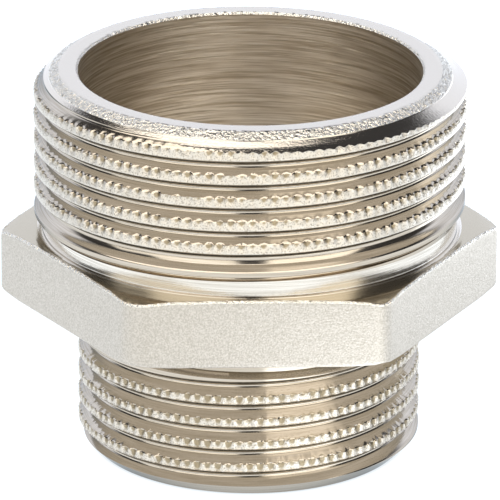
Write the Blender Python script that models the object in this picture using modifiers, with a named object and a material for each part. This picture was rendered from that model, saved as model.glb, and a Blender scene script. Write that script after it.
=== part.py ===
"""Reducing hex nipple: G 1 1/4 male over G 1 male, one solid of plated brass.

The real part is a forged hexagon blank that is turned, bored and threaded in
one piece.  The steps below follow that order: a turned blank with its bore,
six flats, then a helical groove cut into each end.

Frame: metres, +Z is the bore's axis with the wider thread on top.  The origin
is the middle of the lower end face.  Two of the flats face -Y and +Y, so the
corners of the hexagon point along -X and +X.
"""

import math

import bmesh
import bpy
from mathutils import Matrix

MM = 0.001

# Both threads: 11 turns per inch, right-hand, 55 degree Whitworth form.
PITCH = 25.4 / 11 * MM
FLANK_SLOPE = math.tan(math.radians(27.5))
CREST_WIDTH = 0.90 * MM
ROOT_WIDTH = 0.30 * MM
THREAD_DEPTH = (PITCH - CREST_WIDTH - ROOT_WIDTH) / 2 / FLANK_SLOPE
GROOVE_TURNS = 7
GROOVE_OUTREACH = 0.45 * MM          # how far the groove cutter passes the crests

# Overall height, and the hexagon between the two threads.
HEIGHT = 37.8 * MM
HEX_ACROSS_FLATS = 41.9 * MM
HEX_BOTTOM = 15.12 * MM
HEX_TOP = 21.90 * MM
HEX_CORNER_RADIUS = 1.1 * MM
HEX_TURNED_RADIUS = 24.6 * MM        # past the corners, so the flats cut it all round

# Upper end, G 1 1/4.
UPPER_CREST_RADIUS = 20.80 * MM
UPPER_FACE_RADIUS = 18.40 * MM
UPPER_CHAMFER_ANGLE = math.radians(30)
UPPER_BORE_RADIUS = 16.55 * MM
UPPER_GROOVE_END = (23.40 * MM - 0.34 * PITCH, math.radians(270 - 0.34 * 360))
COLLAR_RADIUS = 20.00 * MM
COLLAR_FILLET = 0.35 * MM

# Lower end, G 1.
LOWER_CREST_RADIUS = 16.60 * MM
LOWER_FACE_RADIUS = 15.27 * MM
LOWER_CHAMFER_ANGLE = math.radians(45)
LOWER_BORE_RADIUS = 12.90 * MM
LOWER_GROOVE_END = (13.43 * MM, math.radians(266))
NECK_RADIUS = 15.65 * MM
NECK_FILLET = 0.60 * MM

BORE_CHAMFER = 0.35 * MM
BORE_STEP_TOP = 19.0 * MM            # where the wide bore starts to taper in
TURNED_STEPS = 48                    # facets round every turned surface

SHARP_ANGLE = math.radians(28)


def clear_scene():
    for obj in list(bpy.data.objects):
        bpy.data.objects.remove(obj, do_unlink=True)


def new_collection(name):
    collection = bpy.data.collections.new(name)
    bpy.context.scene.collection.children.link(collection)
    return collection


def plated_brass():
    """Bright nickel plate over brass: a warm grey metal, half polished."""
    material = bpy.data.materials.new("nickel_plated_brass")
    material.use_nodes = True
    shader = material.node_tree.nodes["Principled BSDF"]
    shader.inputs["Base Color"].default_value = (0.62, 0.58, 0.52, 1.0)
    shader.inputs["Metallic"].default_value = 1.0
    shader.inputs["Roughness"].default_value = 0.25
    return material


def arc(centre_radius, centre_z, radius, start, end, steps):
    """Points of an arc in the (radius, z) half plane, angles in degrees."""
    points = []
    for step in range(steps + 1):
        angle = math.radians(start + (end - start) * step / steps)
        points.append((centre_radius + radius * math.cos(angle),
                       centre_z + radius * math.sin(angle)))
    return points


def turned_outline():
    """The nipple's closed outline, down its outer side and back up the bore."""
    upper_chamfer_drop = (UPPER_CREST_RADIUS - UPPER_FACE_RADIUS) * math.tan(UPPER_CHAMFER_ANGLE)
    lower_chamfer_rise = (LOWER_CREST_RADIUS - LOWER_FACE_RADIUS) * math.tan(LOWER_CHAMFER_ANGLE)
    bore_step_bottom = BORE_STEP_TOP - (UPPER_BORE_RADIUS - LOWER_BORE_RADIUS)

    outline = [(UPPER_BORE_RADIUS + BORE_CHAMFER, HEIGHT),
               (UPPER_FACE_RADIUS, HEIGHT),
               (UPPER_CREST_RADIUS, HEIGHT - upper_chamfer_drop)]

    # Below the upper thread the blank steps in to a smooth collar.
    shoulder = UPPER_CREST_RADIUS - COLLAR_RADIUS
    outline.append((UPPER_CREST_RADIUS, HEX_TOP + 1.55 * MM))
    outline.append((COLLAR_RADIUS, HEX_TOP + 1.55 * MM - 0.6 * shoulder))
    outline += arc(COLLAR_RADIUS + COLLAR_FILLET, HEX_TOP + COLLAR_FILLET, COLLAR_FILLET, 180, 270, 3)

    # The hexagon's two faces are turned: nearly flat, then dropping at the corners.
    outline += [(22.4 * MM, HEX_TOP - 0.16 * MM),
                (23.5 * MM, HEX_TOP - 0.42 * MM),
                (HEX_TURNED_RADIUS, HEX_TOP - 1.15 * MM),
                (HEX_TURNED_RADIUS, HEX_BOTTOM + 0.85 * MM),
                (23.5 * MM, HEX_BOTTOM + 0.16 * MM),
                (22.4 * MM, HEX_BOTTOM)]

    # Neck, the shoulder that ends the lower thread, and the lower end.
    outline += arc(NECK_RADIUS + NECK_FILLET, HEX_BOTTOM - NECK_FILLET, NECK_FILLET, 90, 180, 3)
    outline += [(NECK_RADIUS, 12.62 * MM),
                (LOWER_CREST_RADIUS, 12.20 * MM),
                (LOWER_CREST_RADIUS, lower_chamfer_rise),
                (LOWER_FACE_RADIUS, 0.0),
                (LOWER_BORE_RADIUS + BORE_CHAMFER, 0.0)]

    # Bore: narrow through the lower end, a 45 degree step, wide above.
    outline += [(LOWER_BORE_RADIUS, BORE_CHAMFER),
                (LOWER_BORE_RADIUS, bore_step_bottom),
                (UPPER_BORE_RADIUS, BORE_STEP_TOP),
                (UPPER_BORE_RADIUS, HEIGHT - BORE_CHAMFER)]
    return outline


def outline_object(name, outline, collection):
    """A closed wire in the XZ plane, ready for a Screw modifier."""
    mesh = bpy.data.meshes.new(name)
    points = [(radius, 0.0, z) for radius, z in outline]
    edges = [(index, (index + 1) % len(points)) for index in range(len(points))]
    mesh.from_pydata(points, edges, [])
    obj = bpy.data.objects.new(name, mesh)
    collection.objects.link(obj)
    return obj


def add_screw(obj, turns, rise):
    screw = obj.modifiers.new("turned", "SCREW")
    screw.axis = "Z"
    screw.angle = math.tau
    screw.screw_offset = rise
    screw.iterations = turns
    screw.steps = TURNED_STEPS
    screw.render_steps = TURNED_STEPS
    screw.use_merge_vertices = rise == 0.0
    screw.merge_threshold = 0.00001
    screw.use_smooth_shade = False


def as_cutter(obj):
    obj.hide_render = True
    obj.display_type = "WIRE"


def groove_cutter(name, crest_radius, lower_end, collection):
    """One thread groove as a solid: its section swept along a helix, ends capped.

    The section is a trapezium, narrow at the root and wider past the crests.
    The sweep climbs counter-clockwise seen from above: a right-hand thread.
    """
    end_z, end_angle = lower_end
    root = crest_radius - THREAD_DEPTH
    outer = crest_radius + GROOVE_OUTREACH
    half_root = ROOT_WIDTH / 2
    half_outer = half_root + (outer - root) * FLANK_SLOPE
    section = [(outer, half_outer), (outer, -half_outer), (root, -half_root), (root, half_root)]

    guide = outline_object(name + "_guide", section, collection)
    add_screw(guide, GROOVE_TURNS, PITCH)
    bpy.context.view_layer.update()
    evaluated = guide.evaluated_get(bpy.context.evaluated_depsgraph_get())
    mesh = bpy.data.meshes.new_from_object(evaluated)
    bpy.data.objects.remove(guide, do_unlink=True)

    swept = bmesh.new()
    swept.from_mesh(mesh)
    open_edges = [edge for edge in swept.edges if edge.is_boundary]
    bmesh.ops.holes_fill(swept, edges=open_edges, sides=len(section))
    bmesh.ops.recalc_face_normals(swept, faces=swept.faces)
    swept.transform(Matrix.Translation((0.0, 0.0, end_z)) @ Matrix.Rotation(end_angle, 4, "Z"))
    swept.to_mesh(mesh)
    swept.free()

    cutter = bpy.data.objects.new(name, mesh)
    collection.objects.link(cutter)
    as_cutter(cutter)
    return cutter


def hexagon_cutter(collection):
    """A tall hexagonal bar with rounded corners; what lies outside it is milled off."""
    corner_reach = HEX_ACROSS_FLATS / 2 / math.cos(math.pi / 6)
    bpy.ops.mesh.primitive_cylinder_add(vertices=6, radius=corner_reach, depth=HEIGHT * 1.3,
                                        location=(0.0, 0.0, HEIGHT / 2),
                                        rotation=(0.0, 0.0, math.radians(90)))
    cutter = bpy.context.object
    cutter.name = "hexagon_bar"
    bpy.ops.object.transform_apply(location=False, rotation=True, scale=True)
    for owner in list(cutter.users_collection):
        owner.objects.unlink(cutter)
    collection.objects.link(cutter)

    corners = cutter.data.attributes.new("bevel_weight_edge", "FLOAT", "EDGE")
    for edge in cutter.data.edges:
        start, end = (cutter.data.vertices[index].co for index in edge.vertices)
        upright = abs(start.z - end.z) > HEIGHT
        corners.data[edge.index].value = 1.0 if upright else 0.0
    rounding = cutter.modifiers.new("corner_rounding", "BEVEL")
    rounding.limit_method = "WEIGHT"
    rounding.offset_type = "OFFSET"
    rounding.width = HEX_CORNER_RADIUS * math.tan(math.radians(30))
    rounding.segments = 3
    as_cutter(cutter)
    return cutter


def add_boolean(obj, cutter, operation):
    boolean = obj.modifiers.new(cutter.name, "BOOLEAN")
    boolean.operation = operation
    boolean.solver = "EXACT"
    boolean.object = cutter


def shade_turned(obj):
    """Freeze the modifiers, then shade round surfaces smooth with crisp edges."""
    bpy.context.view_layer.update()
    evaluated = obj.evaluated_get(bpy.context.evaluated_depsgraph_get())
    mesh = bpy.data.meshes.new_from_object(evaluated)
    mesh.name = obj.name
    obj.modifiers.clear()
    obj.data = mesh
    mesh.shade_smooth()
    mesh.set_sharp_from_angle(angle=SHARP_ANGLE)


def main():
    clear_scene()
    parts = new_collection("hex_nipple")
    cutters = new_collection("cutters")

    body = outline_object("nipple_body", turned_outline(), parts)
    add_screw(body, 1, 0.0)
    add_boolean(body, hexagon_cutter(cutters), "INTERSECT")
    add_boolean(body, groove_cutter("upper_groove", UPPER_CREST_RADIUS, UPPER_GROOVE_END, cutters),
                "DIFFERENCE")
    add_boolean(body, groove_cutter("lower_groove", LOWER_CREST_RADIUS,
                                    (LOWER_GROOVE_END[0] - GROOVE_TURNS * PITCH, LOWER_GROOVE_END[1]),
                                    cutters), "DIFFERENCE")
    shade_turned(body)
    body.data.materials.append(plated_brass())


main()
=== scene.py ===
# %% [markdown]
# # A reducing hex nipple in nickel-plated brass
#
# A hex nipple joins two pipes. This one has a wide male thread on top, a
# hexagon for the spanner and a narrow male thread below, and a bore runs right
# through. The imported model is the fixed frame: it gives the place and the
# size, and the pieces made here only add the fine surface.

# %% Load the frame
import math

import bpy
import numpy as np
from mathutils import Matrix, Vector


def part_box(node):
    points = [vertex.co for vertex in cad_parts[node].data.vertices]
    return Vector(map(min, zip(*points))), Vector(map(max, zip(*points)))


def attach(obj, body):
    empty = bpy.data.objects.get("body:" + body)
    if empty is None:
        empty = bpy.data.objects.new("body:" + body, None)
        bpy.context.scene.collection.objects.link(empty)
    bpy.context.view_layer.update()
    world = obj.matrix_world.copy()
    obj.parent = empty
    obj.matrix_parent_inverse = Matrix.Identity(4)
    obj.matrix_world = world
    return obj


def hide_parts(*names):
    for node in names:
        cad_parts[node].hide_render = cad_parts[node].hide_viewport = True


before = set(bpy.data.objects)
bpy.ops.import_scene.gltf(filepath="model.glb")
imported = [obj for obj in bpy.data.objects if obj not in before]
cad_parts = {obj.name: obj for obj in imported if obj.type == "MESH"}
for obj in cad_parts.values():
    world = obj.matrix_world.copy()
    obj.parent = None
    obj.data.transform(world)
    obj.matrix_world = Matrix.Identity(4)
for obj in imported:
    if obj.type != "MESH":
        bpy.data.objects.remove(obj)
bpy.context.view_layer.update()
low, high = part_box("nipple_body")

# %% [markdown]
# ## The camera
#
# A small part on a table is usually taken with a long lens from a little above.
# The long lens keeps the rim and the foot nearly the same scale. The camera
# stands two degrees to one side, so one flat of the hexagon is almost square on.

# %% Camera
MM = 0.001
CAMERA_DISTANCE = 597 * MM
CAMERA_ELEVATION = math.radians(20.66)
CAMERA_SIDE = math.radians(-2.32)
CAMERA_ROLL = math.radians(0.36)
CAMERA_LENS = 443.9
AIM = Vector((0.06 * MM, 0.0, 19.09 * MM))

towards_camera = Vector((math.sin(CAMERA_SIDE) * math.cos(CAMERA_ELEVATION),
                         -math.cos(CAMERA_SIDE) * math.cos(CAMERA_ELEVATION),
                         math.sin(CAMERA_ELEVATION)))
camera = bpy.data.objects.new("camera", bpy.data.cameras.new("camera"))
camera.data.lens = CAMERA_LENS
camera.data.sensor_width = 36.0
camera.data.clip_start = 0.05
camera.data.clip_end = 20.0
camera.location = AIM + towards_camera * CAMERA_DISTANCE
camera.rotation_mode = "QUATERNION"
roll = Matrix.Rotation(CAMERA_ROLL, 3, "Z").to_quaternion()
camera.rotation_quaternion = (-towards_camera).to_track_quat("-Z", "Y") @ roll
bpy.context.collection.objects.link(camera)
bpy.context.scene.camera = camera
print("camera stands", round(CAMERA_DISTANCE / MM), "mm from the part")

# %% [markdown]
# ## Two small helpers
#
# Every node tree here is made with one function, which adds a node, sets it and
# links it. Colours are written as people pick them, as sRGB hex values, and one
# function turns them into the linear numbers that Blender works in.


# %% Helpers for node trees and colours
def add_node(tree, kind, inputs=None, **settings):
    """Adds one node. Each input is a value, or an output socket to link from."""
    new = tree.nodes.new(kind)
    for name, value in settings.items():
        setattr(new, name, value)
    for key, value in (inputs or {}).items():
        if isinstance(value, bpy.types.NodeSocket):
            tree.links.new(value, new.inputs[key])
        else:
            new.inputs[key].default_value = value
    return new


def linear(hex_colour):
    """'#rrggbb' in sRGB to a linear RGBA tuple."""
    parts = [int(hex_colour[i:i + 2], 16) / 255 for i in (1, 3, 5)]
    return tuple(c / 12.92 if c <= 0.04045 else ((c + 0.055) / 1.055) ** 2.4 for c in parts) + (1.0,)


# %% [markdown]
# ## Sizes
#
# Both threads are pipe threads with the same pitch, 11 turns to the inch, and
# the same 55 degree ridges. The wide one is a G 1 1/4 and the narrow one a G 1.
# The overall height and the size across the flats come from the frame.

# %% Sizes
HEIGHT = high.z - low.z
FLAT_REACH = (high.y - low.y) / 2
PITCH = 25.4 / 11 * MM
FLANK = math.radians(27.5)             # each side of a ridge leans this far from level
CREST_WIDTH = 0.84 * MM
ROOT_RADIUS = 0.32 * MM                # the groove's bottom is rounded by the tool's nose

WIDE_CREST = 20.80 * MM
WIDE_FACE = 18.40 * MM
WIDE_BORE = 16.55 * MM
COLLAR = 20.00 * MM
NARROW_CREST = 16.60 * MM
NARROW_FACE = 15.27 * MM
NARROW_BORE = 12.90 * MM
NECK = 15.65 * MM
HEX_TOP = 21.90 * MM
HEX_BOTTOM = 15.12 * MM
BORE_STEP_TOP = 19.0 * MM              # below here the wide bore tapers in to the narrow one
UPPER_SEAM = 21.85 * MM                # where the visual pieces meet, inside the metal
LOWER_SEAM = 15.17 * MM
ROUND_STEPS = 720                      # columns round the axis in a ring solid
print("height", round(HEIGHT / MM, 2), "mm, flats", round(2 * FLAT_REACH / MM, 2), "mm apart")

# %% [markdown]
# ## The thread
#
# A thread is one ridge wound round the part like a spring. Blender's Screw
# modifier could wind it, but the knurl on these crests needs a rule too: a
# toothed wheel was pressed into them, so that hemp fibre grips the thread. So
# Geometry Nodes lays a grid whose columns walk round the helix and whose rows
# follow the ridge's outline, and presses each notch in as it goes.
#
# The outline of one turn is drawn first, from the middle of one groove to the
# middle of the next. It is only lines and arcs. Each point also holds how it
# moves where the wheel bites: straight to the floor of the notch, which slants
# from the crest's lower edge down into the upper flank.

# %% One turn's outline
NOTCH_START = 0.14 * MM                # the notch starts this far above the crest's lower edge
NOTCH_DEPTH = 0.42 * MM                # and ends this deep on the upper flank
EDGE = 0.04 * MM                       # the crest's edges are broken by this much
TUCK = 0.05 * MM                       # how close a flank's second point lies to its end


def ridge_outline(crest, notch_start=NOTCH_START, start_depth=0.0, notch_depth=NOTCH_DEPTH,
                  width=CREST_WIDTH):
    """Points (radius, height, pressed radius, pressed height) of one turn, going up.

    A notch starts notch_start above the crest's lower edge, start_depth deep, and slants
    inwards until it leaves the upper flank at notch_depth.
    """
    lean = math.tan(FLANK)
    sharp_depth = (PITCH - width) / 2 / lean
    floor = crest - sharp_depth + ROOT_RADIUS / math.sin(FLANK)
    root = [(floor - ROOT_RADIUS * math.cos(turn), ROOT_RADIUS * math.sin(turn))
            for turn in np.linspace(0.0, math.pi / 2 - FLANK, 5)]
    foot = (PITCH - width) / 2
    head = (PITCH + width) / 2
    start = Vector((crest - start_depth, foot + notch_start))
    end = Vector((crest - notch_depth, head + notch_depth * lean))
    ridge = [(crest - EDGE, foot - EDGE * lean),
             (crest, foot + EDGE),
             (crest, foot + notch_start),
             (crest, foot + 0.30 * width),
             (crest, foot + 0.55 * width),
             (crest, head - EDGE),
             (crest - EDGE, head + EDGE * lean),
             (crest - 0.5 * notch_depth, head + 0.5 * notch_depth * lean),
             tuple(end)]
    # A second point close to each end of a flank keeps the flank flat when it is smooth shaded.
    near_root = (root[-1][0] + TUCK, root[-1][1] + TUCK * lean)
    near_crest = (crest - EDGE - TUCK, foot - (EDGE + TUCK) * lean)
    lower = root + [near_root, near_crest]
    upper = [(r, PITCH - z) for r, z in reversed(root + [near_root])]
    first_pressed = len(lower) + 2
    last_pressed = len(lower) + len(ridge) - 2
    rows = []
    for number, point in enumerate(lower + ridge + upper):
        pressed = Vector(point)
        if first_pressed <= number <= last_pressed:
            share = (pressed.y - start.y) / (end.y - start.y)
            pressed = start.lerp(end, min(max(share, 0.0), 1.0))
        rows.append((*point, *pressed))
    return rows


def outline_mesh(name, rows):
    """A wire through the outline's points in the XZ plane, which keeps each point's press."""
    mesh = bpy.data.meshes.new(name)
    mesh.from_pydata([(r, 0.0, z) for r, z, _, _ in rows],
                     [(i, i + 1) for i in range(len(rows) - 1)], [])
    press = mesh.attributes.new("press", "FLOAT_VECTOR", "POINT")
    press.data.foreach_set("vector", [v for r, z, pr, pz in rows for v in (pr - r, 0.0, pz - z)])
    return mesh


# Rows of the outline, counted from the middle of the groove below.
KNURLED_ROWS = (8.0, 13.0)             # the knurled band lies between these
THINNED_ROWS = (11.0, 12.0)            # the thinned ridge loses its height between these
EASED_ROWS = (15.0, 21.0)              # and the groove above it takes it up between these
RIDGE_ROW = 8.5                        # the middle of the ridge
RIDGE_REACH = 2.7                      # rows on each side of it that stay when the tool draws back
UPPER_ROOT_ROW = 15.5                  # the groove above starts here
LAST_WIDENING = 0.6                    # how much of its distance from the root a point drops
print("ridge outline has", len(ridge_outline(WIDE_CREST)), "points")

# %% The tree that winds the outline into a thread
FULL_TURN = 2 * math.pi
TOUCHED = 0.01 * MM                    # a point that moves more than this was touched by the wheel
WELD = 0.002 * MM
SOFTEST_BITE = 0.6                     # the wheel bites between this much
HARDEST_BITE = 1.25                    # and this much of a notch's depth
KNURL_SHOWS = 0.4                      # a face looks knurled where the knurl is stronger than this
TURNS_TO_TOP_TIP = 1.0                 # the closing points lie this far above the last turn
TURNS_TO_LOW_TIP = 2.0                 # and this far below the first


def thread_tree():
    """A Geometry Nodes tree: outline in, one closed threaded solid out."""
    tree = bpy.data.node_groups.new("wound thread", "GeometryNodeTree")
    sizes = {"Turns": 10.0, "Steps per Turn": 504.0, "Teeth per Turn": 126.0, "Pitch": PITCH,
             "Base Height": 0.0, "Blank Radius": WIDE_CREST, "Run-out Turn": 1.0,
             "Run-out Length": 0.01, "Plain Height": 0.0, "Knurled Height": 1.0, "Knurl Floor": -1.0,
             "Notch Depth": NOTCH_DEPTH, "Notch Floor": 0.10, "Notch Mouth": 0.5, "Ragged": 0.035 * MM,
             "Early Height": -1.0, "Late Height": 0.0, "Late Drop": 0.0,
             "Last Height": -1.0, "Last Lift": 0.56 * MM}
    tree.interface.new_socket(name="Outline", in_out="INPUT", socket_type="NodeSocketGeometry")
    for name, value in sizes.items():
        socket = tree.interface.new_socket(name=name, in_out="INPUT", socket_type="NodeSocketFloat")
        socket.default_value = value
    tree.interface.new_socket(name="Seed", in_out="INPUT", socket_type="NodeSocketInt")
    for name in ("Flank Finish", "Crest Finish"):
        tree.interface.new_socket(name=name, in_out="INPUT", socket_type="NodeSocketMaterial")
    tree.interface.new_socket(name="Thread", in_out="OUTPUT", socket_type="NodeSocketGeometry")
    given = tree.nodes.new("NodeGroupInput").outputs

    # A grid: one column for each step round the helix, one row for each outline point.
    size = add_node(tree, "GeometryNodeAttributeDomainSize", {"Geometry": given["Outline"]})
    rows = size.outputs["Point Count"]
    columns = add_node(tree, "ShaderNodeMath", {0: given["Turns"], 1: given["Steps per Turn"], 2: 1.0},
                       operation="MULTIPLY_ADD").outputs[0]
    grid = add_node(tree, "GeometryNodeMeshGrid", {"Vertices X": columns, "Vertices Y": rows})
    index = add_node(tree, "GeometryNodeInputIndex").outputs[0]
    column = add_node(tree, "FunctionNodeIntegerMath", {0: index, 1: rows},
                      operation="DIVIDE_FLOOR").outputs[0]
    row = add_node(tree, "FunctionNodeIntegerMath", {0: index, 1: rows},
                   operation="MODULO").outputs[0]
    turn = add_node(tree, "ShaderNodeMath", {0: column, 1: given["Steps per Turn"]},
                    operation="DIVIDE").outputs[0]

    # The outline's point and its press, looked up by row.
    position = add_node(tree, "GeometryNodeInputPosition").outputs[0]
    press = add_node(tree, "GeometryNodeInputNamedAttribute", {"Name": "press"},
                     data_type="FLOAT_VECTOR").outputs[0]
    cut = add_node(tree, "GeometryNodeSampleIndex",
                   {"Geometry": given["Outline"], "Value": position, "Index": row},
                   data_type="FLOAT_VECTOR").outputs[0]
    bite = add_node(tree, "GeometryNodeSampleIndex",
                    {"Geometry": given["Outline"], "Value": press, "Index": row},
                    data_type="FLOAT_VECTOR").outputs[0]

    # The groove has no depth before the run-out. Upper rows belong to the groove above.
    half = add_node(tree, "ShaderNodeMath", {0: rows, 1: 0.5}, operation="MULTIPLY").outputs[0]
    upper = add_node(tree, "ShaderNodeMath", {0: row, 1: half}, operation="GREATER_THAN").outputs[0]
    groove = add_node(tree, "ShaderNodeMath", {0: turn, 1: upper}, operation="ADD").outputs[0]
    run_end = add_node(tree, "ShaderNodeMath",
                       {0: given["Run-out Turn"], 1: given["Run-out Length"]},
                       operation="ADD").outputs[0]
    depth = add_node(tree, "ShaderNodeMapRange",
                     {"Value": groove, "From Min": given["Run-out Turn"], "From Max": run_end},
                     interpolation_type="SMOOTHSTEP").outputs[0]

    # How hard the wheel presses: 1 in the middle of a notch, 0 on a tooth.
    tooth = add_node(tree, "ShaderNodeMath", {0: turn, 1: given["Teeth per Turn"]},
                     operation="MULTIPLY").outputs[0]
    notch = add_node(tree, "ShaderNodeMath", {0: tooth}, operation="ROUND").outputs[0]
    away = add_node(tree, "ShaderNodeMath", {0: tooth, 1: notch}, operation="SUBTRACT").outputs[0]
    away = add_node(tree, "ShaderNodeMath", {0: away}, operation="ABSOLUTE").outputs[0]
    vee = add_node(tree, "ShaderNodeMapRange",
                   {"Value": away, "From Min": given["Notch Floor"], "From Max": given["Notch Mouth"],
                    "To Min": 1.0, "To Max": 0.0}).outputs[0]
    luck = add_node(tree, "FunctionNodeRandomValue",
                    {2: SOFTEST_BITE, 3: HARDEST_BITE, "ID": notch, "Seed": given["Seed"]},
                    data_type="FLOAT").outputs[1]
    cut_parts = add_node(tree, "ShaderNodeSeparateXYZ", {0: cut}).outputs
    climb = add_node(tree, "ShaderNodeMath",
                     {0: turn, 1: given["Pitch"], 2: given["Base Height"]},
                     operation="MULTIPLY_ADD").outputs[0]
    height = add_node(tree, "ShaderNodeMath", {0: climb, 1: cut_parts["Z"]},
                      operation="ADD").outputs[0]
    climb_to_groove = add_node(tree, "ShaderNodeMath",
                               {0: groove, 1: given["Pitch"], 2: given["Base Height"]},
                               operation="MULTIPLY_ADD").outputs[0]
    zone = add_node(tree, "ShaderNodeMapRange",
                    {"Value": height, "From Min": given["Plain Height"],
                     "From Max": given["Knurled Height"]}).outputs[0]
    from_floor = add_node(tree, "ShaderNodeMath", {0: height, 1: given["Knurl Floor"]},
                          operation="GREATER_THAN").outputs[0]
    zone = add_node(tree, "ShaderNodeMath", {0: zone, 1: from_floor}, operation="MULTIPLY").outputs[0]
    push = add_node(tree, "ShaderNodeMath", {0: vee, 1: luck}, operation="MULTIPLY").outputs[0]
    push = add_node(tree, "ShaderNodeMath", {0: push, 1: zone}, operation="MULTIPLY").outputs[0]
    push = add_node(tree, "ShaderNodeMath", {0: push, 1: depth}, operation="MULTIPLY").outputs[0]
    moved = add_node(tree, "ShaderNodeVectorMath", {0: bite, "Scale": push},
                     operation="SCALE").outputs[0]
    moved = add_node(tree, "ShaderNodeVectorMath", {0: cut, 1: moved}, operation="ADD").outputs[0]

    # Burrs: a small random move where the wheel touched, and nowhere else.
    pressed = add_node(tree, "ShaderNodeVectorMath", {0: bite}, operation="LENGTH").outputs["Value"]
    touched = add_node(tree, "ShaderNodeMath", {0: pressed, 1: TOUCHED},
                       operation="GREATER_THAN").outputs[0]
    touched = add_node(tree, "ShaderNodeMath", {0: touched, 1: zone}, operation="MULTIPLY").outputs[0]
    ragged = add_node(tree, "ShaderNodeMath", {0: touched, 1: given["Ragged"]},
                      operation="MULTIPLY").outputs[0]
    chance = add_node(tree, "FunctionNodeRandomValue",
                      {0: (-1.0, -1.0, -1.0), 1: (1.0, 1.0, 1.0), "ID": index, "Seed": given["Seed"]},
                      data_type="FLOAT_VECTOR").outputs[0]
    burr = add_node(tree, "ShaderNodeVectorMath", {0: chance, "Scale": ragged},
                    operation="SCALE").outputs[0]
    moved = add_node(tree, "ShaderNodeVectorMath", {0: moved, 1: burr}, operation="ADD").outputs[0]
    parts = add_node(tree, "ShaderNodeSeparateXYZ", {0: moved}).outputs

    # The last groove is a little wide: its lower side drops, which thins the last ridge.
    late = add_node(tree, "ShaderNodeMapRange",
                    {"Value": climb_to_groove, "From Min": given["Early Height"],
                     "From Max": given["Late Height"]}, interpolation_type="SMOOTHSTEP").outputs[0]
    share = add_node(tree, "ShaderNodeMapRange",
                     {"Value": row, "From Min": THINNED_ROWS[0], "From Max": THINNED_ROWS[1]}).outputs[0]
    ease = add_node(tree, "ShaderNodeMapRange",
                    {"Value": row, "From Min": EASED_ROWS[0], "From Max": EASED_ROWS[1],
                     "To Min": 1.0, "To Max": 0.0}).outputs[0]
    share = add_node(tree, "ShaderNodeMath", {0: share, 1: ease}, operation="MULTIPLY").outputs[0]
    share = add_node(tree, "ShaderNodeMath", {0: share, 1: late}, operation="MULTIPLY").outputs[0]
    drop = add_node(tree, "ShaderNodeMath", {0: share, 1: given["Late Drop"]},
                    operation="MULTIPLY").outputs[0]

    # In the last groove the tool draws back: the groove moves up, widens and meets the blank.
    last = add_node(tree, "ShaderNodeMath", {0: climb_to_groove, 1: given["Last Height"]},
                    operation="LESS_THAN").outputs[0]
    first = add_node(tree, "ShaderNodeMath", {0: 1.0, 1: last}, operation="SUBTRACT").outputs[0]
    drop = add_node(tree, "ShaderNodeMath", {0: drop, 1: first}, operation="MULTIPLY").outputs[0]
    from_ridge = add_node(tree, "ShaderNodeMath", {0: row, 1: RIDGE_ROW}, operation="SUBTRACT").outputs[0]
    from_ridge = add_node(tree, "ShaderNodeMath", {0: from_ridge}, operation="ABSOLUTE").outputs[0]
    in_groove = add_node(tree, "ShaderNodeMath", {0: from_ridge, 1: RIDGE_REACH},
                         operation="GREATER_THAN").outputs[0]
    in_groove = add_node(tree, "ShaderNodeMath", {0: in_groove, 1: last},
                         operation="MULTIPLY").outputs[0]
    in_root = add_node(tree, "ShaderNodeMath", {0: row, 1: UPPER_ROOT_ROW},
                       operation="GREATER_THAN").outputs[0]
    in_root = add_node(tree, "ShaderNodeMath", {0: in_root, 1: last}, operation="MULTIPLY").outputs[0]
    below_root = add_node(tree, "ShaderNodeMath", {0: given["Pitch"], 1: parts["Z"]},
                          operation="SUBTRACT").outputs[0]
    widen = add_node(tree, "ShaderNodeMath", {0: below_root, 1: in_root}, operation="MULTIPLY").outputs[0]
    drop = add_node(tree, "ShaderNodeMath", {0: widen, 1: LAST_WIDENING, 2: drop},
                    operation="MULTIPLY_ADD").outputs[0]
    rise = add_node(tree, "ShaderNodeMath", {0: in_groove, 1: given["Last Lift"]},
                    operation="MULTIPLY").outputs[0]
    drop = add_node(tree, "ShaderNodeMath", {0: drop, 1: rise}, operation="SUBTRACT").outputs[0]

    # In that groove no point of the upper side stands out past the blank.
    over = add_node(tree, "ShaderNodeMath", {0: parts["X"], 1: given["Blank Radius"]},
                    operation="SUBTRACT").outputs[0]
    over = add_node(tree, "ShaderNodeMath", {0: over, 1: 0.0}, operation="MAXIMUM").outputs[0]
    upper_last = add_node(tree, "ShaderNodeMath", {0: upper, 1: last}, operation="MULTIPLY").outputs[0]
    over = add_node(tree, "ShaderNodeMath", {0: over, 1: upper_last}, operation="MULTIPLY").outputs[0]
    reach = add_node(tree, "ShaderNodeMath", {0: parts["X"], 1: over}, operation="SUBTRACT").outputs[0]

    # Each point goes round the axis by its turn and up by the pitch.
    inward = add_node(tree, "ShaderNodeMath", {0: reach, 1: given["Blank Radius"]},
                      operation="SUBTRACT").outputs[0]
    radius = add_node(tree, "ShaderNodeMath", {0: inward, 1: depth, 2: given["Blank Radius"]},
                      operation="MULTIPLY_ADD").outputs[0]
    lift = add_node(tree, "ShaderNodeMath", {0: climb, 1: parts["Z"]}, operation="ADD").outputs[0]
    lift = add_node(tree, "ShaderNodeMath", {0: lift, 1: drop}, operation="SUBTRACT").outputs[0]
    angle = add_node(tree, "ShaderNodeMath", {0: turn, 1: FULL_TURN}, operation="MULTIPLY").outputs[0]
    east = add_node(tree, "ShaderNodeMath", {0: angle}, operation="COSINE").outputs[0]
    north = add_node(tree, "ShaderNodeMath", {0: angle}, operation="SINE").outputs[0]
    east = add_node(tree, "ShaderNodeMath", {0: east, 1: radius}, operation="MULTIPLY").outputs[0]
    north = add_node(tree, "ShaderNodeMath", {0: north, 1: radius}, operation="MULTIPLY").outputs[0]
    place = add_node(tree, "ShaderNodeCombineXYZ", {0: east, 1: north, 2: lift}).outputs[0]

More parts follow.
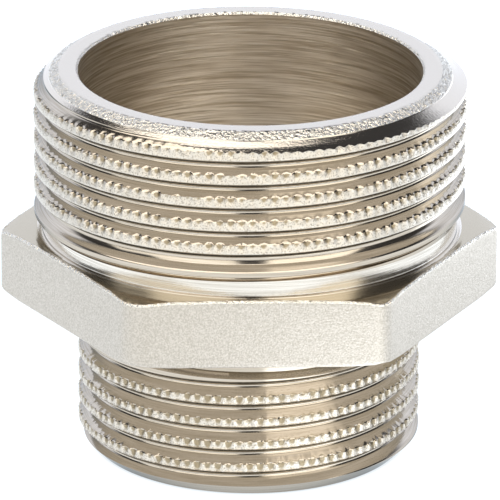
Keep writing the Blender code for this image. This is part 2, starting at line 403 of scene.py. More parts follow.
    # The finishes go by row, before the rows of neighbouring turns are welded.
    face_row = add_node(tree, "GeometryNodeFieldOnDomain", {0: row}, data_type="FLOAT").outputs[0]
    face_zone = add_node(tree, "GeometryNodeFieldOnDomain", {0: zone}, data_type="FLOAT").outputs[0]
    above = add_node(tree, "ShaderNodeMath", {0: face_row, 1: KNURLED_ROWS[0]},
                     operation="GREATER_THAN").outputs[0]
    below = add_node(tree, "ShaderNodeMath", {0: face_row, 1: KNURLED_ROWS[1]},
                     operation="LESS_THAN").outputs[0]
    knurled = add_node(tree, "ShaderNodeMath", {0: above, 1: below}, operation="MULTIPLY").outputs[0]
    knurled = add_node(tree, "ShaderNodeMath", {0: knurled, 1: face_zone},
                       operation="MULTIPLY").outputs[0]
    knurled = add_node(tree, "ShaderNodeMath", {0: knurled, 1: KNURL_SHOWS},
                       operation="GREATER_THAN").outputs[0]
    # Storing the flag first keeps it from being read again once the points have moved.
    flagged = add_node(tree, "GeometryNodeStoreNamedAttribute",
                       {"Geometry": grid.outputs["Mesh"], "Name": "knurled", "Value": knurled},
                       data_type="BOOLEAN", domain="FACE").outputs[0]

    # The crest's finish reads how deep the wheel has bitten at each point.
    depth_share = add_node(tree, "ShaderNodeMath", {0: pressed, 1: given["Notch Depth"]},
                           operation="DIVIDE").outputs[0]
    bitten = add_node(tree, "ShaderNodeMath", {0: depth_share, 1: push}, operation="MULTIPLY").outputs[0]
    flagged = add_node(tree, "GeometryNodeStoreNamedAttribute",
                       {"Geometry": flagged, "Name": "notch", "Value": bitten},
                       data_type="FLOAT", domain="POINT").outputs[0]

    wound = add_node(tree, "GeometryNodeSetPosition", {"Geometry": flagged, "Position": place})
    flag = add_node(tree, "GeometryNodeInputNamedAttribute", {"Name": "knurled"},
                    data_type="BOOLEAN").outputs[0]
    plain = add_node(tree, "GeometryNodeSetMaterial",
                     {"Geometry": wound.outputs[0], "Material": given["Flank Finish"]})
    dressed = add_node(tree, "GeometryNodeSetMaterial",
                       {"Geometry": plain.outputs[0], "Selection": flag,
                        "Material": given["Crest Finish"]})
    welded = add_node(tree, "GeometryNodeMergeByDistance",
                      {"Geometry": dressed.outputs[0], "Distance": WELD})

    # Each open end is drawn in to a point on the axis, above or below all that the trim keeps.
    neighbours = add_node(tree, "GeometryNodeInputMeshEdgeNeighbors").outputs[0]
    open_edge = add_node(tree, "ShaderNodeMath", {0: neighbours, 1: 1.5},
                         operation="LESS_THAN").outputs[0]
    drawn = add_node(tree, "GeometryNodeExtrudeMesh",
                     {"Mesh": welded.outputs[0], "Selection": open_edge, "Offset Scale": 0.0},
                     mode="EDGES")
    here = add_node(tree, "ShaderNodeSeparateXYZ", {0: position}).outputs["Z"]
    middle = add_node(tree, "ShaderNodeMath", {0: given["Turns"], 1: given["Pitch"]},
                      operation="MULTIPLY").outputs[0]
    middle = add_node(tree, "ShaderNodeMath", {0: middle, 1: 0.5, 2: given["Base Height"]},
                      operation="MULTIPLY_ADD").outputs[0]
    at_top = add_node(tree, "ShaderNodeMath", {0: here, 1: middle},
                      operation="GREATER_THAN").outputs[0]
    between_tips = add_node(tree, "ShaderNodeMath",
                            {0: given["Turns"], 1: TURNS_TO_TOP_TIP + TURNS_TO_LOW_TIP},
                            operation="ADD").outputs[0]
    span = add_node(tree, "ShaderNodeMath", {0: between_tips, 1: at_top, 2: -TURNS_TO_LOW_TIP},
                    operation="MULTIPLY_ADD").outputs[0]
    apex = add_node(tree, "ShaderNodeMath", {0: span, 1: given["Pitch"], 2: given["Base Height"]},
                    operation="MULTIPLY_ADD").outputs[0]
    tip = add_node(tree, "ShaderNodeCombineXYZ", {2: apex}).outputs[0]
    closed = add_node(tree, "GeometryNodeSetPosition",
                      {"Geometry": drawn.outputs["Mesh"], "Selection": drawn.outputs["Top"],
                       "Position": tip})
    sealed = add_node(tree, "GeometryNodeMergeByDistance",
                      {"Geometry": closed.outputs[0], "Distance": WELD})
    real = add_node(tree, "GeometryNodeRealizeInstances", {"Geometry": sealed.outputs[0]})
    add_node(tree, "NodeGroupOutput", {"Thread": real.outputs[0]})
    return tree


wound_thread = thread_tree()
print("thread tree has", len(wound_thread.nodes), "nodes")

# %% [markdown]
# ## The finishes
#
# The whole part is brass with a coat of nickel, so every surface has nickel's
# colour: a warm, slightly yellow silver. What differs is how each surface was
# cut before plating, because plating copies what is under it. Nickel returns a
# little more red light than blue, and light that bounces twice gets that tint
# twice, which is why thread flanks look tan although the metal is nearly white.
# A few finishes also carry painted shade or painted light in their colour, darker or lighter than the
# nickel, as noted at each.

# %% Nickel
NICKEL = linear("#d4ccc1")             # bright nickel: what the plate returns at each bounce
GROOVE_SHADE_NICKEL = linear("#c6bbad")        # darker and browner than bright nickel: painted shade for the shaded table the grooves mirror


def metal(name, roughness, colour=NICKEL):
    """A nickel material, its tree and its shader. The pattern nodes are added by the caller."""
    made = bpy.data.materials.new(name)
    made.use_nodes = True
    tree = made.node_tree
    shader = tree.nodes["Principled BSDF"]
    shader.inputs["Base Color"].default_value = colour
    shader.inputs["Metallic"].default_value = 1.0
    shader.inputs["Roughness"].default_value = roughness
    return made, tree, shader


MARKS_ROUND = 2.2                      # how often the marks change on the way round the part


def turning_marks(tree, spacing):
    """Noise drawn out along the cut: fine across it, long along it. spacing is one mark's width."""
    at = add_node(tree, "ShaderNodeTexCoord").outputs["Object"]
    parts = add_node(tree, "ShaderNodeSeparateXYZ", {0: at}).outputs
    flat = add_node(tree, "ShaderNodeCombineXYZ", {0: parts["X"], 1: parts["Y"]}).outputs[0]
    radius = add_node(tree, "ShaderNodeVectorMath", {0: flat}, operation="LENGTH").outputs["Value"]
    way = add_node(tree, "ShaderNodeVectorMath", {0: flat}, operation="NORMALIZE").outputs[0]
    way = add_node(tree, "ShaderNodeVectorMath", {0: way, "Scale": MARKS_ROUND},
                   operation="SCALE").outputs[0]
    across = add_node(tree, "ShaderNodeMath", {0: parts["Z"], 1: 1.0 / spacing},
                      operation="MULTIPLY").outputs[0]
    upright = add_node(tree, "ShaderNodeCombineXYZ", {2: across}).outputs[0]
    where = add_node(tree, "ShaderNodeVectorMath", {0: way, 1: upright}, operation="ADD").outputs[0]
    outward = add_node(tree, "ShaderNodeMath", {0: radius, 1: 1.0 / spacing},
                       operation="MULTIPLY").outputs[0]
    return add_node(tree, "ShaderNodeTexNoise",
                    {"Vector": where, "W": outward, "Scale": 1.0, "Detail": 3.0, "Roughness": 0.6},
                    noise_dimensions="4D").outputs["Fac"]


def grit(tree, size, detail=3.0):
    """Noise with grains of that size, the same in all directions."""
    at = add_node(tree, "ShaderNodeTexCoord").outputs["Object"]
    return add_node(tree, "ShaderNodeTexNoise",
                    {"Vector": at, "Scale": 1.0 / size, "Detail": detail, "Roughness": 0.6}).outputs["Fac"]


def raise_by(tree, shader, height, depth, on=None):
    """Bumps the surface by the pattern: depth is the height of a full step from 0 to 1."""
    inputs = {"Height": height, "Strength": 1.0, "Distance": depth}
    if on is not None:
        inputs["Normal"] = on
    bump = add_node(tree, "ShaderNodeBump", inputs).outputs[0]
    tree.links.new(bump, shader.inputs["Normal"])
    return bump


def tinted(tree, shader, pattern, low_colour, high_colour, low_at=0.35, high_at=0.65):
    """Colours the shader between two colours as the pattern goes from low_at to high_at."""
    share = add_node(tree, "ShaderNodeMapRange",
                     {"Value": pattern, "From Min": low_at, "From Max": high_at}).outputs[0]
    colour = add_node(tree, "ShaderNodeMix", {"Factor": share, 6: low_colour, 7: high_colour},
                      data_type="RGBA").outputs[2]
    tree.links.new(colour, shader.inputs["Base Color"])
    return colour


# %% Turned thread flanks
# Smooth enough to mirror the table twice over, which turns it tan, with fine marks along the cut.
flank_finish, tree, shader = metal("turned nickel flank", 0.14, GROOVE_SHADE_NICKEL)
marks = turning_marks(tree, 0.11 * MM)
raise_by(tree, shader, marks, 0.005 * MM)
# Both colours are darker than bright nickel, a painted shade in the grooves; the turning marks vary
# between them.
tinted(tree, shader, marks, linear("#bbb0a0"), linear("#cfc5b8"))
# The edge tint is set much darker than nickel's own, a painted shade: seen along the surface the metal
# returns much less, which draws a dark line under each crest.
shader.inputs["Specular Tint"].default_value = (0.46, 0.50, 0.54, 1.0)

# %% Knurled crests
# The wheel leaves the metal crushed, so the teeth look white and grainy and mirror nothing.
crest_finish, tree, shader = metal("knurled nickel crest", 0.28)
raise_by(tree, shader, grit(tree, 0.18 * MM), 0.08 * MM)
bright = tinted(tree, shader, grit(tree, 0.15 * MM, 2.0), linear("#aaa195"), linear("#e3dcd1"),
                0.34, 0.48)
# The notches, whose depth the thread tree stored, are coloured darker and browner: painted shade in the
# recesses.
bitten = add_node(tree, "ShaderNodeAttribute", attribute_name="notch").outputs["Fac"]
bitten = add_node(tree, "ShaderNodeMapRange",
                  {"Value": bitten, "From Min": 0.30, "From Max": 0.50}).outputs[0]
colour = add_node(tree, "ShaderNodeMix", {"Factor": bitten, 6: bright, 7: linear("#a3967f")},
                  data_type="RGBA").outputs[2]
tree.links.new(colour, shader.inputs["Base Color"])

# %% Turned collar
# A broader cut than on the flanks: bright, with soft streaks that catch the light round the part.
collar_finish, tree, shader = metal("brushed turned nickel", 0.20)
marks = turning_marks(tree, 0.16 * MM)
raise_by(tree, shader, marks, 0.010 * MM)
tinted(tree, shader, marks, linear("#d3ccc2"), linear("#f0ebe3"))

# %% Faced ends
# The flat ends look satin, because the facing cut blurs what they mirror.
end_finish, tree, shader = metal("faced nickel end", 0.26)
raise_by(tree, shader, turning_marks(tree, 0.12 * MM), 0.004 * MM)

# %% Turned top and bottom of the hexagon
# A clean cut, so the collar is mirrored in it, a little darker and browner; its colour is darker and
# browner than bright nickel, a painted shade in the corner beside the collar.
shelf_finish, tree, shader = metal("turned nickel shelf", 0.16, linear("#b5ab98"))
raise_by(tree, shader, turning_marks(tree, 0.12 * MM), 0.004 * MM)

# %% Torn chamfer
# The tool tore the metal here. The lumps are bright but face all ways, so it sparkles black and white.
torn_finish, tree, shader = metal("torn nickel chamfer", 0.16, linear("#e4dfd6"))
raise_by(tree, shader, grit(tree, 0.34 * MM, 2.0), 0.30 * MM)

# %% Turned cone between the torn chamfer and the first ridge
# Almost a mirror: it shows the dark room as a black band, with a few specks of torn metal in it.
cone_finish, tree, shader = metal("turned nickel cone", 0.12)
turned = raise_by(tree, shader, turning_marks(tree, 0.13 * MM), 0.012 * MM)
raise_by(tree, shader, grit(tree, 0.22 * MM, 2.0), 0.015 * MM, turned)

# %% Turned bore
# Coarse marks run round the bore, light and dark, and blur the light that falls in. Their colours run
# lighter than bright nickel, painted light that brightens the inside of the bore and its streaks.
bore_finish, tree, shader = metal("turned nickel bore", 0.30)
marks = turning_marks(tree, 0.22 * MM)
raise_by(tree, shader, marks, 0.05 * MM)
tinted(tree, shader, marks, linear("#c2b6a4"), linear("#fbf4ea"), 0.38, 0.62)

# %% Blasted hexagon
# The bar's skin was blasted with grit, which leaves it even, pale and matt like fine sandpaper.
hexagon_finish, tree, shader = metal("blasted nickel hexagon", 0.33)
raise_by(tree, shader, grit(tree, 0.15 * MM), 0.06 * MM)
tinted(tree, shader, grit(tree, 0.17 * MM, 1.0), linear("#bdb6ab"), linear("#d5cec5"))
print("finishes made:", len(bpy.data.materials))

# %% [markdown]
# ## Rings joined into a solid
#
# The parts that were turned, and the hexagon too, are rings of points joined
# band by band. The last ring joins the first, so the solid is closed, with the
# bore as its inner wall. A ring may be any closed curve that goes once round
# the axis, which is how one function makes both round bands and six-sided ones.


# %% Ring solids
def directions(columns):
    """Unit vectors round the axis, counter-clockwise from above, as an array."""
    angle = np.arange(columns) * FULL_TURN / columns
    return np.stack([np.cos(angle), np.sin(angle), np.zeros(columns)], axis=1)


SHAKE = 0.03 * MM                      # how far the torn metal stands up or down
SHAKE_SEED = 11


def ring_solid(name, bands, columns):
    """bands is a list of (radius, height, finish): one ring each, and the finish from it to the next."""
    ways = directions(columns)
    rings = []
    for radius, height, _ in bands:
        ring = ways * np.reshape(radius, (-1, 1))
        ring[:, 2] = height
        rings.append(ring)
    points = np.concatenate(rings)
    here = np.arange(columns)
    after = (here + 1) % columns
    faces = []
    for number in range(len(bands)):
        lower = (number + 1) % len(bands) * columns
        upper = number * columns
        faces.append(np.stack([upper + here, lower + here, lower + after, upper + after], axis=1))
    mesh = bpy.data.meshes.new(name)
    mesh.from_pydata(points, [], np.concatenate(faces))
    finishes = []
    for _, _, finish in bands:
        if finish not in finishes:
            finishes.append(finish)
            mesh.materials.append(finish)
    numbers = np.repeat([finishes.index(finish) for _, _, finish in bands], columns)
    torn = np.array([finish is torn_finish and bands[number - 1][2] is torn_finish
                     for number, (_, _, finish) in enumerate(bands)])
    shakes = np.random.default_rng(SHAKE_SEED).normal(0.0, SHAKE, (len(bands), columns, 1))
    up = np.array([0.0, 0.0, 1.0])
    shaken = points.reshape(len(bands), columns, 3) + np.where(torn[:, None, None], shakes * up, 0.0)
    mesh.vertices.foreach_set("co", shaken.reshape(-1))
    mesh.polygons.foreach_set("material_index", numbers.astype(np.int32))
    solid = bpy.data.objects.new(name, mesh)
    bpy.context.collection.objects.link(solid)
    return solid


def run(start, end, step, finish):
    """Rings from start to before end, (radius, height) each, no further apart than step."""
    length = math.dist(start, end)
    count = max(1, math.ceil(length / step))
    shares = np.arange(count) / count
    return [(start[0] + (end[0] - start[0]) * s, start[1] + (end[1] - start[1]) * s, finish)
            for s in shares]


def fall(radius, curve):
    """How far a turned surface has fallen away at a radius. curve is (radii, falls), in mm."""
    return np.interp(radius / MM, *curve) * MM


def fillet(centre, radius, first, last, finish, steps=6):
    """Rings along an arc, from angle first to before angle last, in degrees."""
    turns = np.radians(np.linspace(first, last, steps, endpoint=False))
    return [(centre[0] + radius * math.cos(t), centre[1] + radius * math.sin(t), finish)
            for t in turns]


# %% [markdown]
# ## The wide end
#
# The wide end is turned to its outline first and threaded afterwards. Here both
# exist as solids: the thread is wound a little longer than it has to be, and a
# Boolean keeps what it shares with the turned outline. That trims the ridge to
# the cone at the end and gives the collar its smooth band.

# %% The wide end's turned outline
CLEAR = 0.7 * MM                       # how far the outline stays outside the crests
SHOULDER_DROP = 0.05 * MM
SHOULDER_TOP = HEX_TOP + 1.60 * MM
COLLAR_FILLET = 0.16 * MM
SEAM_OVERLAP = 0.15 * MM               # the pieces go into each other this far beside a fillet
RIM = 0.20 * MM
LINE = 0.05 * MM                       # a fine scored line ends the torn band
TORN_EDGE = 19.35 * MM                 # the cone is torn from the face out to here
BEND = 20.10 * MM                      # the cone gets flatter outside this radius
CONE = ((18.40, 19.35, 20.10, 21.50), (0.0, 0.548, 1.065, 1.706))

# The distances between rings: close where the surface is torn or mirrors strongly.
BORE_SPACING = 4 * MM
FACE_SPACING = 0.5 * MM
SHOULDER_SPACING = 0.4 * MM
COLLAR_SPACING = 0.3 * MM
CONE_SPACING = 0.2 * MM
TORN_SPACING = 0.16 * MM
ONE_BAND = 1.0                         # longer than any run, which makes it a single band

outer = WIDE_CREST + CLEAR
shoulder = SHOULDER_TOP + CLEAR * SHOULDER_DROP / (WIDE_CREST - COLLAR)
flare = COLLAR + COLLAR_FILLET


def cone_height(radius):
    """The height of the end's cone, which is a little hollow outside the torn band."""
    return HEIGHT - float(fall(radius, CONE))


torn_foot = (TORN_EDGE, cone_height(TORN_EDGE))
line_foot = (TORN_EDGE + LINE, cone_height(TORN_EDGE) - 2 * LINE)
bend = (BEND, cone_height(BEND))
collar_top = (COLLAR, SHOULDER_TOP - SHOULDER_DROP)
wide_bands = [
    *run((WIDE_BORE, UPPER_SEAM), (WIDE_BORE, HEIGHT - RIM - LINE), BORE_SPACING, bore_finish),
    (WIDE_BORE, HEIGHT - RIM - LINE, bore_finish),
    *run((WIDE_BORE, HEIGHT - RIM), (WIDE_BORE + RIM, HEIGHT), 0.5 * RIM, torn_finish),
    *run((WIDE_BORE + RIM, HEIGHT), (WIDE_FACE, HEIGHT), FACE_SPACING, end_finish),
    *run((WIDE_FACE, HEIGHT), torn_foot, TORN_SPACING, torn_finish),
    *run(torn_foot, line_foot, LINE, cone_finish),
    *run(line_foot, bend, CONE_SPACING, cone_finish),
    *run(bend, (outer, cone_height(outer)), CONE_SPACING, cone_finish),
    *run((outer, cone_height(outer)), (outer, shoulder), ONE_BAND, flank_finish),
    *run((outer, shoulder), collar_top, SHOULDER_SPACING, collar_finish),
    *run(collar_top, (COLLAR, HEX_TOP + COLLAR_FILLET), COLLAR_SPACING, collar_finish),
    *fillet((flare, HEX_TOP + COLLAR_FILLET), COLLAR_FILLET, 180, 270, collar_finish),
    (flare, HEX_TOP, collar_finish),
    (flare + SEAM_OVERLAP, UPPER_SEAM, collar_finish),
]
wide_envelope = ring_solid("wide_outline", wide_bands, ROUND_STEPS)
print("wide outline rings", len(wide_bands))


# %% Winding a thread and trimming it to its outline
def set_inputs(modifier, values):
    """Sets a Geometry Nodes modifier's inputs by their names."""
    for item in modifier.node_group.interface.items_tree:
        if item.in_out == "INPUT" and item.name in values:
            modifier[item.identifier] = values[item.name]


def bake_down(piece):
    """Replaces a piece's modifiers by the plain mesh they make."""
    graph = bpy.context.evaluated_depsgraph_get()
    made = bpy.data.meshes.new_from_object(piece.evaluated_get(graph))
    piece.modifiers.clear()
    old = piece.data
    piece.data = made
    made.name = piece.name
    bpy.data.meshes.remove(old)


def tidy_slots(mesh):
    """Drops material slots that hold nothing, and keeps each face's material."""
    used = [slot for slot in mesh.materials if slot is not None]
    numbers = np.zeros(len(mesh.polygons), np.int32)
    mesh.polygons.foreach_get("material_index", numbers)
    lookup = np.array([used.index(slot) if slot is not None else 0 for slot in mesh.materials])
    mesh.materials.clear()
    for slot in used:
        mesh.materials.append(slot)
    mesh.polygons.foreach_set("material_index", lookup[numbers].astype(np.int32))


def threaded_piece(name, envelope, rows, values):
    """Winds the outline into a thread and keeps what it shares with the turned envelope."""
    piece = bpy.data.objects.new(name, outline_mesh(name, rows))
    bpy.context.collection.objects.link(piece)
    winding = piece.modifiers.new("wind", "NODES")
    winding.node_group = wound_thread
    set_inputs(winding, {"Pitch": PITCH, "Flank Finish": flank_finish,
                         "Crest Finish": crest_finish, **values})
    bake_down(piece)
    tidy_slots(piece.data)
    trim = piece.modifiers.new("trim", "BOOLEAN")
    trim.operation = "INTERSECT"
    trim.object = envelope
    trim.solver = "MANIFOLD"
    trim.material_mode = "TRANSFER"
    bake_down(piece)
    bpy.data.objects.remove(envelope)
    return piece


TURNS = 10.0                           # more than either thread needs; the trim takes the rest
WIDE_TEETH = 126.0
STEPS_PER_WIDE_TOOTH = 4
WIDE_CREST_FRONT = 36.09 * MM          # a crest's middle at the front
WIDE_GROOVE_END = 23.40 * MM - 0.34 * PITCH
WIDE_TURNS_BELOW = 8                   # turns from the base up to that crest's groove
FRONT = 270 / 360                      # the thread starts at the right, three quarters of a turn on
wide_base = WIDE_CREST_FRONT - PITCH / 2 - FRONT * PITCH - WIDE_TURNS_BELOW * PITCH
wide_end = threaded_piece("wide_end", wide_envelope, ridge_outline(WIDE_CREST), {
    "Turns": TURNS, "Steps per Turn": STEPS_PER_WIDE_TOOTH * WIDE_TEETH, "Teeth per Turn": WIDE_TEETH,
    "Base Height": wide_base, "Blank Radius": COLLAR + 0.02 * MM, "Last Height": 24.6 * MM,
    "Run-out Turn": (WIDE_GROOVE_END - wide_base) / PITCH, "Run-out Length": 0.01,
    "Plain Height": 25.7 * MM, "Knurled Height": 25.9 * MM, "Seed": 3,
    "Early Height": 27.2 * MM, "Late Height": 26.3 * MM, "Late Drop": 0.33 * MM})
print("wide end:", len(wide_end.data.polygons), "faces")

# %% [markdown]
# ## The narrow end
#
# The narrow end is made the same way, upside down. Its thread runs out just
# under the hexagon, where the die stopped and left a small step in the groove.

# %% The narrow end
NECK_FILLET = 0.60 * MM
NECK_SHOULDER = 12.62 * MM
NECK_DROP = 0.42 * MM
NARROW_GROOVE_END = 13.43 * MM
NARROW_CREST_FRONT = 3.08 * MM         # a crest's middle at the front
NARROW_TURNS_BELOW = 2
NARROW_TEETH = 102.0
STEPS_PER_NARROW_TOOTH = 6
NARROW_NOTCH_DEPTH = 0.26 * MM
NARROW_CREST_WIDTH = 0.68 * MM
CHAMFER_SPACING = 0.25 * MM

outer = NARROW_CREST + CLEAR
shoulder = NECK_SHOULDER - (outer - NECK) * NECK_DROP / (NARROW_CREST - NECK)
flare = NECK + NECK_FILLET
narrow_bands = [
    *run((NARROW_BORE, RIM), (NARROW_BORE, LOWER_SEAM), BORE_SPACING, bore_finish),
    (NARROW_BORE, LOWER_SEAM, collar_finish),
    (flare + SEAM_OVERLAP, LOWER_SEAM, collar_finish),
    *fillet((flare, HEX_BOTTOM - NECK_FILLET), NECK_FILLET, 90, 180, collar_finish),
    *run((NECK, HEX_BOTTOM - NECK_FILLET), (NECK, NECK_SHOULDER), COLLAR_SPACING, flank_finish),
    *run((NECK, NECK_SHOULDER), (outer, shoulder), SHOULDER_SPACING, flank_finish),
    *run((outer, shoulder), (outer, outer - NARROW_FACE), ONE_BAND, flank_finish),
    *run((outer, outer - NARROW_FACE), (NARROW_FACE, 0.0), CHAMFER_SPACING, flank_finish),
    *run((NARROW_FACE, 0.0), (NARROW_BORE + RIM, 0.0), FACE_SPACING, end_finish),
    *run((NARROW_BORE + RIM, 0.0), (NARROW_BORE, RIM), RIM, end_finish),
]
narrow_envelope = ring_solid("narrow_outline", narrow_bands, ROUND_STEPS)
narrow_base = NARROW_CREST_FRONT - PITCH / 2 - FRONT * PITCH - NARROW_TURNS_BELOW * PITCH
narrow_ridge = ridge_outline(NARROW_CREST, 0.08 * MM, 0.08 * MM, NARROW_NOTCH_DEPTH, NARROW_CREST_WIDTH)
narrow_end = threaded_piece("narrow_end", narrow_envelope, narrow_ridge, {
    "Turns": TURNS, "Steps per Turn": STEPS_PER_NARROW_TOOTH * NARROW_TEETH,
    "Teeth per Turn": NARROW_TEETH, "Base Height": narrow_base, "Blank Radius": NARROW_CREST,
    "Run-out Turn": (NARROW_GROOVE_END - narrow_base) / PITCH, "Run-out Length": -0.01,
    "Plain Height": 11.6 * MM, "Knurled Height": 11.1 * MM, "Knurl Floor": 1.9 * MM, "Seed": 8,
    "Notch Depth": NARROW_NOTCH_DEPTH, "Notch Floor": 0.12})
print("narrow end:", len(narrow_end.data.polygons), "faces")

# %% [markdown]
# ## The hexagon
#
# The spanner's grip is hexagon bar, turned down at both ends. So its top and
# bottom are turned faces and its sides are the bar's own skin, which was
# blasted. Its rings are six-sided outside and round inside. In between, the
# faces on top lead from one shape to the other.

# %% The hexagon
HEX_CORNERS = [1.1, 1.1, 1.1, 1.1, 3.0, 2.0]   # mm, from the right corner counter-clockwise
HEX_EDGE = 0.22 * MM
HEX_COLUMNS = 720
STEP_SPACING = 1 * MM
SHELF_RINGS = 10
SIDE_RINGS = 24
BRINK = 0.2 * MM                       # the pieces meet this far out from the collar and the neck
TOP_START = COLLAR + 0.5 * MM
BOTTOM_START = NECK + NECK_FILLET + 0.3 * MM
TOP_EASE = 0.25                        # the top's fall comes in over this share of its width
TOP = ((21.0, 22.4, 23.5, 24.6), (0.04, 0.16, 0.42, 1.15))
BOTTOM = ((22.4, 23.5, 24.6), (0.0, 0.16, 0.85))


def hexagon_reach(columns):
    """The distance from the axis to a hexagon with rounded corners, in each direction."""
    angle = np.degrees(np.arange(columns) * FULL_TURN / columns)
    corner = np.array(HEX_CORNERS)[((angle + 30) // 60).astype(int) % 6] * MM
    off_corner = np.radians(np.abs((angle + 30) % 60 - 30))
    straight = FLAT_REACH / np.cos(np.radians(30) - off_corner)
    centre = (FLAT_REACH - corner) / math.cos(math.radians(30))
    under = np.maximum(corner ** 2 - (centre * np.sin(off_corner)) ** 2, 0.0)
    arc = centre * np.cos(off_corner) + np.sqrt(under)
    tangent = np.arctan(corner * 0.5 / (centre + corner * math.cos(math.radians(30))))
    return np.where(off_corner < tangent, arc, straight)


reach = hexagon_reach(HEX_COLUMNS)
step_rise = WIDE_BORE - NARROW_BORE
hex_bands = [
    *run((NARROW_BORE, LOWER_SEAM), (NARROW_BORE, BORE_STEP_TOP - step_rise), STEP_SPACING, bore_finish),
    *run((NARROW_BORE, BORE_STEP_TOP - step_rise), (WIDE_BORE, BORE_STEP_TOP), STEP_SPACING, bore_finish),
    *run((WIDE_BORE, BORE_STEP_TOP), (WIDE_BORE, UPPER_SEAM), STEP_SPACING, bore_finish),
    (WIDE_BORE, UPPER_SEAM, collar_finish),
    (COLLAR, UPPER_SEAM, collar_finish),
    (COLLAR + BRINK, HEX_TOP, collar_finish),
]
for share in np.linspace(0.0, 1.0, SHELF_RINGS)[:-1]:
    radius = TOP_START + (reach - HEX_EDGE - TOP_START) * share
    hex_bands.append((radius, HEX_TOP - fall(radius, TOP) * min(1.0, share / TOP_EASE), shelf_finish))
edge_top = HEX_TOP - fall(reach - HEX_EDGE, TOP)
for turn, finish in ((0, torn_finish), (30, torn_finish), (60, torn_finish), (90, hexagon_finish)):
    turn = math.radians(turn)
    hex_bands.append((reach - HEX_EDGE + HEX_EDGE * math.sin(turn),
                      edge_top - HEX_EDGE + HEX_EDGE * math.cos(turn), finish))
edge_bottom = HEX_BOTTOM + fall(reach - HEX_EDGE, BOTTOM)
for share in np.linspace(0.0, 1.0, SIDE_RINGS)[1:-1]:
    hex_bands.append((reach, (edge_top - HEX_EDGE) * (1 - share) + (edge_bottom + HEX_EDGE) * share,
                      hexagon_finish))
for turn in np.radians([90, 60, 30, 0]):
    hex_bands.append((reach - HEX_EDGE + HEX_EDGE * math.sin(turn),
                      edge_bottom + HEX_EDGE - HEX_EDGE * math.cos(turn), hexagon_finish))
for share in np.linspace(1.0, 0.0, SHELF_RINGS)[1:]:
    radius = BOTTOM_START + (reach - HEX_EDGE - BOTTOM_START) * share
    hex_bands.append((radius, HEX_BOTTOM + fall(radius, BOTTOM), shelf_finish))
hex_bands.append((NECK + BRINK, LOWER_SEAM, collar_finish))
hexagon = ring_solid("hexagon", hex_bands, HEX_COLUMNS)
print("hexagon:", len(hexagon.data.polygons), "faces")

# %% [markdown]
# ## The pieces ride on the frame
#
# The real part is one piece of metal. It is three pieces here only because each
# was made its own way. They meet inside the metal and move as one.

# %% Smooth shading, and the frame's part is stood in for
SHARP = math.radians(32)
for piece in (wide_end, hexagon, narrow_end):
    piece.data.shade_smooth()
    piece.data.set_sharp_from_angle(angle=SHARP)
    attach(piece, "root")
    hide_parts("nipple_body")

# %% [markdown]
# ## The floor and the light
#
# Polished metal has hardly any colour of its own: it shows the room. So the room
# is made as it is for product pictures. The table is a sheet of lit white
# acrylic and the wall behind is white. A soft box hangs overhead, others stand
# in front on the left and the right, and the rest of the room is left dark,
# because the dark gaps between the lamps draw the dark lines on the metal.

# %% The floor
floor_mesh = bpy.data.meshes.new("floor")
FLOOR_REACH = 3.0                      # metres from the part to each side
FLOOR_GAP = 0.05 * MM
floor_mesh.from_pydata([(x * FLOOR_REACH, y * FLOOR_REACH, low.z - FLOOR_GAP)
                        for x, y in ((-1, -1), (1, -1), (1, 1), (-1, 1))], [], [(0, 1, 2, 3)])
floor = bpy.data.objects.new("floor", floor_mesh)
bpy.context.collection.objects.link(floor)
floor_finish = bpy.data.materials.new("lit white acrylic")
floor_finish.use_nodes = True
tree = floor_finish.node_tree
shader = tree.nodes["Principled BSDF"]
shader.inputs["Base Color"].default_value = linear("#6f7174")
shader.inputs["Roughness"].default_value = 0.8
shader.inputs["Emission Strength"].default_value = 0.99
# The daylight behind is cooler than the lamps in front, and no light comes up under the part.
FRONT_GLOW = (0.97, 1.00, 1.00, 1.0)
BACK_GLOW = (1.02, 1.12, 1.24, 1.0)
GLOW_CHANGE = 0.12                     # metres in front and behind over which the glow changes
FOOT_SHADE = (14.5 * MM, 15.8 * MM)    # the shade under the part fades out between these radii
at = add_node(tree, "ShaderNodeTexCoord").outputs["Object"]
parts = add_node(tree, "ShaderNodeSeparateXYZ", {0: at}).outputs
deep = add_node(tree, "ShaderNodeMapRange",
                {"Value": parts["Y"], "From Min": -GLOW_CHANGE, "From Max": GLOW_CHANGE}).outputs[0]
glow = add_node(tree, "ShaderNodeMix", {"Factor": deep, 6: FRONT_GLOW, 7: BACK_GLOW},
                data_type="RGBA").outputs[2]
out = add_node(tree, "ShaderNodeVectorMath", {0: at}, operation="LENGTH").outputs["Value"]
clear = add_node(tree, "ShaderNodeMapRange",
                 {"Value": out, "From Min": FOOT_SHADE[0], "From Max": FOOT_SHADE[1],
                  "To Min": 0.35}).outputs[0]
glow = add_node(tree, "ShaderNodeVectorMath", {0: glow, "Scale": clear}, operation="SCALE").outputs[0]
near = add_node(tree, "ShaderNodeMath", {0: parts["Y"], 1: -1.0}, operation="MULTIPLY").outputs[0]
aside = add_node(tree, "ShaderNodeMath", {0: parts["X"], 1: near}, operation="ARCTAN2").outputs[0]
aside = add_node(tree, "ShaderNodeMath", {0: aside}, operation="DEGREES").outputs[0]


def brighter_patch(glow, spans, gain):
    """Adds gain times the glow where every (value, none, all) span is at its all end."""
    patch = 1.0
    for value, none, full in spans:
        share = add_node(tree, "ShaderNodeMapRange",
                         {"Value": value, "From Min": none, "From Max": full}).outputs[0]
        patch = add_node(tree, "ShaderNodeMath", {0: share, 1: patch}, operation="MULTIPLY").outputs[0]
    patch = add_node(tree, "ShaderNodeMath", {0: patch, 1: gain, 2: 1.0},
                     operation="MULTIPLY_ADD").outputs[0]
    return add_node(tree, "ShaderNodeVectorMath", {0: glow, "Scale": patch}, operation="SCALE").outputs[0]


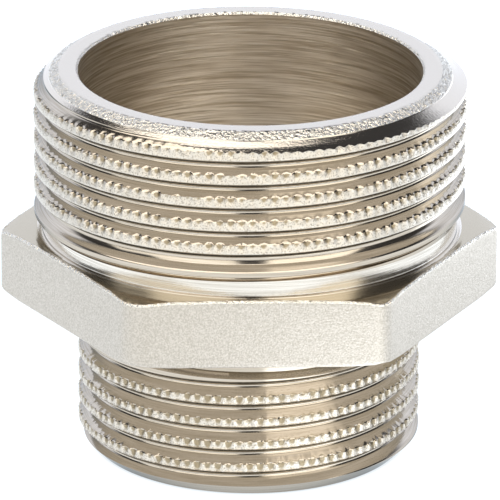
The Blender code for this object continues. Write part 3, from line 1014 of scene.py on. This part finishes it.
# A lamp to the right is mirrored in the table, close in front of the part.
glow = brighter_patch(glow, [(aside, 6.0, 9.0), (aside, 52.0, 40.0),
                             (out, 66.0 * MM, 54.0 * MM), (out, 19.0 * MM, 23.0 * MM)], 1.3)
# Further out on the right a window is mirrored too.
glow = brighter_patch(glow, [(aside, 92.0, 102.0), (aside, 160.0, 150.0),
                             (out, 90.0 * MM, 105.0 * MM)], 1.6)
tree.links.new(glow, shader.inputs["Emission Color"])
floor_mesh.materials.append(floor_finish)

# %% The room
world = bpy.data.worlds.new("studio")
bpy.context.scene.world = world
world.use_nodes = True
tree = world.node_tree
backdrop = tree.nodes["Background"]
way = add_node(tree, "ShaderNodeTexCoord").outputs["Generated"]
parts = add_node(tree, "ShaderNodeSeparateXYZ", {0: way}).outputs
rise = add_node(tree, "ShaderNodeMath", {0: parts["Z"]}, operation="ARCSINE").outputs[0]
rise = add_node(tree, "ShaderNodeMath", {0: rise}, operation="DEGREES").outputs[0]
near = add_node(tree, "ShaderNodeMath", {0: parts["Y"], 1: -1.0}, operation="MULTIPLY").outputs[0]
swing = add_node(tree, "ShaderNodeMath", {0: parts["X"], 1: near}, operation="ARCTAN2").outputs[0]
swing = add_node(tree, "ShaderNodeMath", {0: swing}, operation="DEGREES").outputs[0]
aside = add_node(tree, "ShaderNodeMath", {0: swing}, operation="ABSOLUTE").outputs[0]


def between(value, start, full, end_full, end):
    """1 where value lies from full to end_full, falling smoothly to 0 at start and end."""
    come = add_node(tree, "ShaderNodeMapRange", {"Value": value, "From Min": start, "From Max": full},
                    interpolation_type="SMOOTHSTEP").outputs[0]
    go = add_node(tree, "ShaderNodeMapRange", {"Value": value, "From Min": end, "From Max": end_full},
                  interpolation_type="SMOOTHSTEP").outputs[0]
    return add_node(tree, "ShaderNodeMath", {0: come, 1: go}, operation="MULTIPLY").outputs[0]


def lamp(under, across, across_span, height, height_span, light):
    """Lays a lit area over what is under it. A span is (start, full, end of full, end)."""
    mask = add_node(tree, "ShaderNodeMath",
                    {0: between(across, *across_span), 1: between(height, *height_span)},
                    operation="MULTIPLY").outputs[0]
    return add_node(tree, "ShaderNodeMix", {"Factor": mask, 6: under, 7: light},
                    data_type="RGBA").outputs[2]


DARK_ROOM = (0.055, 0.055, 0.058, 1.0)
WALL_LIGHT = (1.20, 1.28, 1.45, 1.0)
LEFT_LIGHT = (1.70, 1.66, 1.55, 1.0)
LOW_LEFT_LIGHT = (1.50, 1.50, 1.45, 1.0)
RIGHT_LIGHT = (2.0, 1.93, 1.75, 1.0)
OVERHEAD_LIGHT = (2.3, 2.2, 2.05, 1.0)

room = lamp(DARK_ROOM, aside, (108, 122, 400, 500), rise, (-200, -100, 30, 40), WALL_LIGHT)
room = lamp(room, swing, (-64, -58, -12, -9), rise, (2, 6, 200, 300), LEFT_LIGHT)
room = lamp(room, swing, (-86, -80, -62, -58), rise, (2, 6, 22, 32), LOW_LEFT_LIGHT)
room = lamp(room, swing, (6, 8, 58, 62), rise, (2, 6, 200, 300), RIGHT_LIGHT)
# The overhead box's rear edge runs slanting across the ceiling, nearer on the right.
ceiling = add_node(tree, "ShaderNodeMath", {0: parts["Z"], 1: 0.05}, operation="MAXIMUM").outputs[0]
rightward = add_node(tree, "ShaderNodeMath", {0: parts["X"], 1: ceiling}, operation="DIVIDE").outputs[0]
backward = add_node(tree, "ShaderNodeMath", {0: parts["Y"], 1: ceiling}, operation="DIVIDE").outputs[0]
slant = add_node(tree, "ShaderNodeMath", {0: rightward, 1: 0.39, 2: backward},
                 operation="MULTIPLY_ADD").outputs[0]
room = lamp(room, slant, (-200, -100, 0.22, 0.28), rise, (44, 52, 200, 300), OVERHEAD_LIGHT)
tree.links.new(room, backdrop.inputs["Color"])
backdrop.inputs["Strength"].default_value = 1.0
bpy.context.scene.view_settings.view_transform = "Standard"
